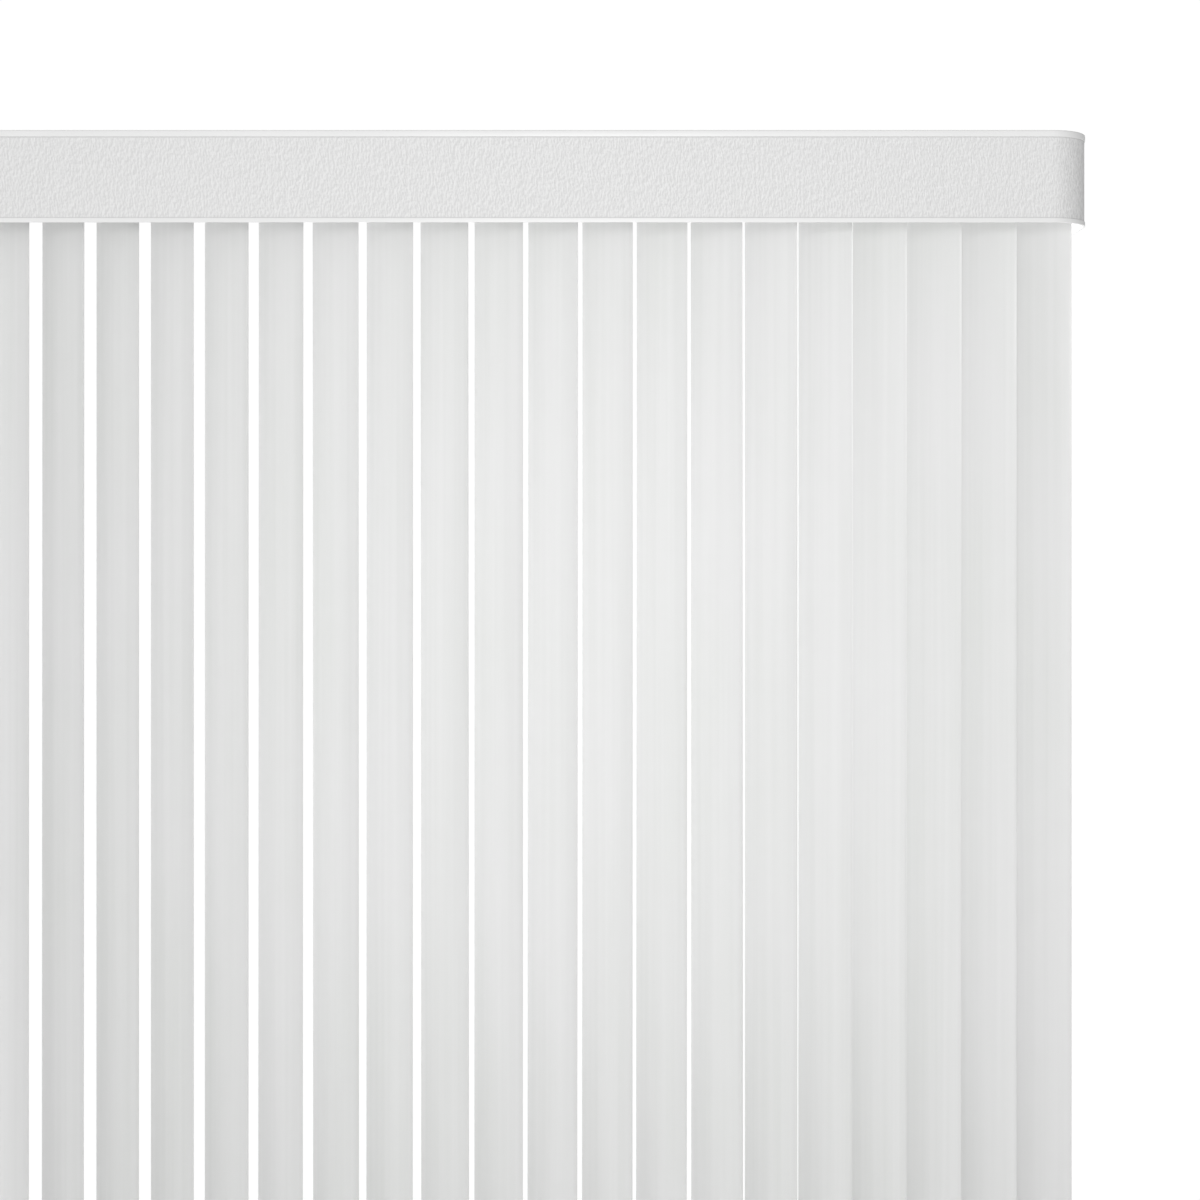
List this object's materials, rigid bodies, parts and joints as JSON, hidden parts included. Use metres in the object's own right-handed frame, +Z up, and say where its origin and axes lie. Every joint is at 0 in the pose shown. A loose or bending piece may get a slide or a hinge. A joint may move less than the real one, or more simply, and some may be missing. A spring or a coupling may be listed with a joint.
{
  "type": "vertical blind",
  "caption": "Vertical blind with curved PVC vanes on a one-way-draw wall-mounted headrail, a wand, and a round-cornered valance with a grained insert.",
  "frame": {"origin": "on the wall plane, midway between the two wall screw holes of the middle bracket", "axes": "+Z up, +Y into the wall, the room at -Y; the vanes gather towards +X and the wand hangs at -X"},
  "size_m": [1.6712, 0.127, 2.134],
  "materials": {
    "vane_pvc": "satin",
    "valance_pvc": "satin",
    "insert_pvc": "matte",
    "rail_white": "satin",
    "bare_aluminium": "satin",
    "white_plastic": "satin",
    "acetal": "satin",
    "clear_plastic": "gloss",
    "wand_acrylic": "gloss",
    "white_steel": "satin",
    "spring_steel": "satin",
    "zinc_steel": "satin"
  },
  "bodies": {
    "headrail_assembly": {"headrail": "rail_white", "end_cap_left": "white_plastic", "end_cap_right": "white_plastic", "end_cap_screws": "zinc_steel", "carrier_stop": "acetal", "wall_bracket_left": "white_steel", "wall_bracket_middle": "white_steel", "wall_bracket_right": "white_steel", "rail_clips": "spring_steel", "bracket_bolts": "zinc_steel", "bracket_nuts": "zinc_steel", "valance_channel": "valance_pvc", "valance_insert": "insert_pvc", "valance_clips": "clear_plastic", "carrier_20": "acetal"},
    "tilt_rod": {"tilt_rod": "bare_aluminium"},
    "carrier_01": {"carrier_01": "acetal"},
    "carrier_02": {"carrier_02": "acetal"},
    "carrier_03": {"carrier_03": "acetal"},
    "carrier_04": {"carrier_04": "acetal"},
    "carrier_05": {"carrier_05": "acetal"},
    "carrier_06": {"carrier_06": "acetal"},
    "carrier_07": {"carrier_07": "acetal"},
    "carrier_08": {"carrier_08": "acetal"},
    "carrier_09": {"carrier_09": "acetal"},
    "carrier_10": {"carrier_10": "acetal"},
    "carrier_11": {"carrier_11": "acetal"},
    "carrier_12": {"carrier_12": "acetal"},
    "carrier_13": {"carrier_13": "acetal"},
    "carrier_14": {"carrier_14": "acetal"},
    "carrier_15": {"carrier_15": "acetal"},
    "carrier_16": {"carrier_16": "acetal"},
    "carrier_17": {"carrier_17": "acetal"},
    "carrier_18": {"carrier_18": "acetal"},
    "carrier_19": {"carrier_19": "acetal"},
    "vane_01": {"vane_01": "vane_pvc"},
    "vane_02": {"vane_02": "vane_pvc"},
    "vane_03": {"vane_03": "vane_pvc"},
    "vane_04": {"vane_04": "vane_pvc"},
    "vane_05": {"vane_05": "vane_pvc"},
    "vane_06": {"vane_06": "vane_pvc"},
    "vane_07": {"vane_07": "vane_pvc"},
    "vane_08": {"vane_08": "vane_pvc"},
    "vane_09": {"vane_09": "vane_pvc"},
    "vane_10": {"vane_10": "vane_pvc"},
    "vane_11": {"vane_11": "vane_pvc"},
    "vane_12": {"vane_12": "vane_pvc"},
    "vane_13": {"vane_13": "vane_pvc"},
    "vane_14": {"vane_14": "vane_pvc"},
    "vane_15": {"vane_15": "vane_pvc"},
    "vane_16": {"vane_16": "vane_pvc"},
    "vane_17": {"vane_17": "vane_pvc"},
    "vane_18": {"vane_18": "vane_pvc"},
    "vane_19": {"vane_19": "vane_pvc"},
    "vane_20": {"vane_20": "vane_pvc"},
    "wand_stem": {"wand_stem": "acetal"},
    "wand_cross": {"wand_cross": "zinc_steel"},
    "wand": {"wand_coupler": "clear_plastic", "wand_rod": "wand_acrylic", "wand_grip": "white_plastic"}
  },
  "joints": [
    {"name": "traverse_01", "type": "slide", "parent": "headrail_assembly", "child": "carrier_01", "axis": [1, 0, 0], "range_m": [0, 1.102]},
    {"name": "traverse_02", "type": "slide", "parent": "headrail_assembly", "child": "carrier_02", "axis": [1, 0, 0], "range_m": [0, 1.044]},
    {"name": "traverse_03", "type": "slide", "parent": "headrail_assembly", "child": "carrier_03", "axis": [1, 0, 0], "range_m": [0, 0.986]},
    {"name": "traverse_04", "type": "slide", "parent": "headrail_assembly", "child": "carrier_04", "axis": [1, 0, 0], "range_m": [0, 0.928]},
    {"name": "traverse_05", "type": "slide", "parent": "headrail_assembly", "child": "carrier_05", "axis": [1, 0, 0], "range_m": [0, 0.87]},
    {"name": "traverse_06", "type": "slide", "parent": "headrail_assembly", "child": "carrier_06", "axis": [1, 0, 0], "range_m": [0, 0.812]},
    {"name": "traverse_07", "type": "slide", "parent": "headrail_assembly", "child": "carrier_07", "axis": [1, 0, 0], "range_m": [0, 0.754]},
    {"name": "traverse_08", "type": "slide", "parent": "headrail_assembly", "child": "carrier_08", "axis": [1, 0, 0], "range_m": [0, 0.696]},
    {"name": "traverse_09", "type": "slide", "parent": "headrail_assembly", "child": "carrier_09", "axis": [1, 0, 0], "range_m": [0, 0.638]},
    {"name": "traverse_10", "type": "slide", "parent": "headrail_assembly", "child": "carrier_10", "axis": [1, 0, 0], "range_m": [0, 0.58]},
    {"name": "traverse_11", "type": "slide", "parent": "headrail_assembly", "child": "carrier_11", "axis": [1, 0, 0], "range_m": [0, 0.522]},
    {"name": "traverse_12", "type": "slide", "parent": "headrail_assembly", "child": "carrier_12", "axis": [1, 0, 0], "range_m": [0, 0.464]},
    {"name": "traverse_13", "type": "slide", "parent": "headrail_assembly", "child": "carrier_13", "axis": [1, 0, 0], "range_m": [0, 0.406]},
    {"name": "traverse_14", "type": "slide", "parent": "headrail_assembly", "child": "carrier_14", "axis": [1, 0, 0], "range_m": [0, 0.348]},
    {"name": "traverse_15", "type": "slide", "parent": "headrail_assembly", "child": "carrier_15", "axis": [1, 0, 0], "range_m": [0, 0.29]},
    {"name": "traverse_16", "type": "slide", "parent": "headrail_assembly", "child": "carrier_16", "axis": [1, 0, 0], "range_m": [0, 0.232]},
    {"name": "traverse_17", "type": "slide", "parent": "headrail_assembly", "child": "carrier_17", "axis": [1, 0, 0], "range_m": [0, 0.174]},
    {"name": "traverse_18", "type": "slide", "parent": "headrail_assembly", "child": "carrier_18", "axis": [1, 0, 0], "range_m": [0, 0.116]},
    {"name": "traverse_19", "type": "slide", "parent": "headrail_assembly", "child": "carrier_19", "axis": [1, 0, 0], "range_m": [0, 0.058]},
    {"name": "tilt_01", "type": "hinge", "parent": "carrier_01", "child": "vane_01", "pos_m": [-0.76, -0.062, -0.015], "axis": [0, 0, 1], "range_deg": [-129, 19]},
    {"name": "tilt_02", "type": "hinge", "parent": "carrier_02", "child": "vane_02", "pos_m": [-0.68, -0.062, -0.015], "axis": [0, 0, 1], "range_deg": [-129, 19]},
    {"name": "tilt_03", "type": "hinge", "parent": "carrier_03", "child": "vane_03", "pos_m": [-0.6, -0.062, -0.015], "axis": [0, 0, 1], "range_deg": [-129, 19]},
    {"name": "tilt_04", "type": "hinge", "parent": "carrier_04", "child": "vane_04", "pos_m": [-0.52, -0.062, -0.015], "axis": [0, 0, 1], "range_deg": [-129, 19]},
    {"name": "tilt_05", "type": "hinge", "parent": "carrier_05", "child": "vane_05", "pos_m": [-0.44, -0.062, -0.015], "axis": [0, 0, 1], "range_deg": [-129, 19]},
    {"name": "tilt_06", "type": "hinge", "parent": "carrier_06", "child": "vane_06", "pos_m": [-0.36, -0.062, -0.015], "axis": [0, 0, 1], "range_deg": [-129, 19]},
    {"name": "tilt_07", "type": "hinge", "parent": "carrier_07", "child": "vane_07", "pos_m": [-0.28, -0.062, -0.015], "axis": [0, 0, 1], "range_deg": [-129, 19]},
    {"name": "tilt_08", "type": "hinge", "parent": "carrier_08", "child": "vane_08", "pos_m": [-0.2, -0.062, -0.015], "axis": [0, 0, 1], "range_deg": [-129, 19]},
    {"name": "tilt_09", "type": "hinge", "parent": "carrier_09", "child": "vane_09", "pos_m": [-0.12, -0.062, -0.015], "axis": [0, 0, 1], "range_deg": [-129, 19]},
    {"name": "tilt_10", "type": "hinge", "parent": "carrier_10", "child": "vane_10", "pos_m": [-0.04, -0.062, -0.015], "axis": [0, 0, 1], "range_deg": [-129, 19]},
    {"name": "tilt_11", "type": "hinge", "parent": "carrier_11", "child": "vane_11", "pos_m": [0.04, -0.062, -0.015], "axis": [0, 0, 1], "range_deg": [-129, 19]},
    {"name": "tilt_12", "type": "hinge", "parent": "carrier_12", "child": "vane_12", "pos_m": [0.12, -0.062, -0.015], "axis": [0, 0, 1], "range_deg": [-129, 19]},
    {"name": "tilt_13", "type": "hinge", "parent": "carrier_13", "child": "vane_13", "pos_m": [0.2, -0.062, -0.015], "axis": [0, 0, 1], "range_deg": [-129, 19]},
    {"name": "tilt_14", "type": "hinge", "parent": "carrier_14", "child": "vane_14", "pos_m": [0.28, -0.062, -0.015], "axis": [0, 0, 1], "range_deg": [-129, 19]},
    {"name": "tilt_15", "type": "hinge", "parent": "carrier_15", "child": "vane_15", "pos_m": [0.36, -0.062, -0.015], "axis": [0, 0, 1], "range_deg": [-129, 19]},
    {"name": "tilt_16", "type": "hinge", "parent": "carrier_16", "child": "vane_16", "pos_m": [0.44, -0.062, -0.015], "axis": [0, 0, 1], "range_deg": [-129, 19]},
    {"name": "tilt_17", "type": "hinge", "parent": "carrier_17", "child": "vane_17", "pos_m": [0.52, -0.062, -0.015], "axis": [0, 0, 1], "range_deg": [-129, 19]},
    {"name": "tilt_18", "type": "hinge", "parent": "carrier_18", "child": "vane_18", "pos_m": [0.6, -0.062, -0.015], "axis": [0, 0, 1], "range_deg": [-129, 19]},
    {"name": "tilt_19", "type": "hinge", "parent": "carrier_19", "child": "vane_19", "pos_m": [0.68, -0.062, -0.015], "axis": [0, 0, 1], "range_deg": [-129, 19]},
    {"name": "tilt_20", "type": "hinge", "parent": "headrail_assembly", "child": "vane_20", "pos_m": [0.76, -0.062, -0.015], "axis": [0, 0, 1], "range_deg": [-129, 19]},
    {"name": "rod_turn", "type": "hinge", "parent": "headrail_assembly", "child": "tilt_rod", "pos_m": [0, -0.0523, -0.00215], "axis": [1, 0, 0], "range_deg": [-387, 57]},
    {"name": "wand_twist", "type": "hinge", "parent": "carrier_01", "child": "wand_stem", "pos_m": [-0.814, -0.062, -0.0246], "axis": [0, 0, 1], "range_deg": [-129, 19]},
    {"name": "wand_lean_out", "type": "hinge", "parent": "wand_stem", "child": "wand_cross", "pos_m": [-0.814, -0.062, -0.0246], "axis": [-1, 0, 0], "range_deg": [0, 15]},
    {"name": "wand_lean_side", "type": "hinge", "parent": "wand_cross", "child": "wand", "pos_m": [-0.814, -0.062, -0.0246], "axis": [0, 1, 0], "range_deg": [0, 6]}
  ],
  "couplings": [
    {"joint": "traverse_02", "follows": "traverse_01", "ratio": 0.94737},
    {"joint": "traverse_03", "follows": "traverse_01", "ratio": 0.89474},
    {"joint": "traverse_04", "follows": "traverse_01", "ratio": 0.8421},
    {"joint": "traverse_05", "follows": "traverse_01", "ratio": 0.78947},
    {"joint": "traverse_06", "follows": "traverse_01", "ratio": 0.73684},
    {"joint": "traverse_07", "follows": "traverse_01", "ratio": 0.68421},
    {"joint": "traverse_08", "follows": "traverse_01", "ratio": 0.63158},
    {"joint": "traverse_09", "follows": "traverse_01", "ratio": 0.57895},
    {"joint": "traverse_10", "follows": "traverse_01", "ratio": 0.52632},
    {"joint": "traverse_11", "follows": "traverse_01", "ratio": 0.47368},
    {"joint": "traverse_12", "follows": "traverse_01", "ratio": 0.42105},
    {"joint": "traverse_13", "follows": "traverse_01", "ratio": 0.36842},
    {"joint": "traverse_14", "follows": "traverse_01", "ratio": 0.31579},
    {"joint": "traverse_15", "follows": "traverse_01", "ratio": 0.26316},
    {"joint": "traverse_16", "follows": "traverse_01", "ratio": 0.21053},
    {"joint": "traverse_17", "follows": "traverse_01", "ratio": 0.1579},
    {"joint": "traverse_18", "follows": "traverse_01", "ratio": 0.10526},
    {"joint": "traverse_19", "follows": "traverse_01", "ratio": 0.052632},
    {"joint": "tilt_02", "follows": "tilt_01", "ratio": 1},
    {"joint": "tilt_03", "follows": "tilt_01", "ratio": 1},
    {"joint": "tilt_04", "follows": "tilt_01", "ratio": 1},
    {"joint": "tilt_05", "follows": "tilt_01", "ratio": 1},
    {"joint": "tilt_06", "follows": "tilt_01", "ratio": 1},
    {"joint": "tilt_07", "follows": "tilt_01", "ratio": 1},
    {"joint": "tilt_08", "follows": "tilt_01", "ratio": 1},
    {"joint": "tilt_09", "follows": "tilt_01", "ratio": 1},
    {"joint": "tilt_10", "follows": "tilt_01", "ratio": 1},
    {"joint": "tilt_11", "follows": "tilt_01", "ratio": 1},
    {"joint": "tilt_12", "follows": "tilt_01", "ratio": 1},
    {"joint": "tilt_13", "follows": "tilt_01", "ratio": 1},
    {"joint": "tilt_14", "follows": "tilt_01", "ratio": 1},
    {"joint": "tilt_15", "follows": "tilt_01", "ratio": 1},
    {"joint": "tilt_16", "follows": "tilt_01", "ratio": 1},
    {"joint": "tilt_17", "follows": "tilt_01", "ratio": 1},
    {"joint": "tilt_18", "follows": "tilt_01", "ratio": 1},
    {"joint": "tilt_19", "follows": "tilt_01", "ratio": 1},
    {"joint": "tilt_20", "follows": "tilt_01", "ratio": 1},
    {"joint": "rod_turn", "follows": "tilt_01", "ratio": 3},
    {"joint": "wand_twist", "follows": "tilt_01", "ratio": 1}
  ]
}
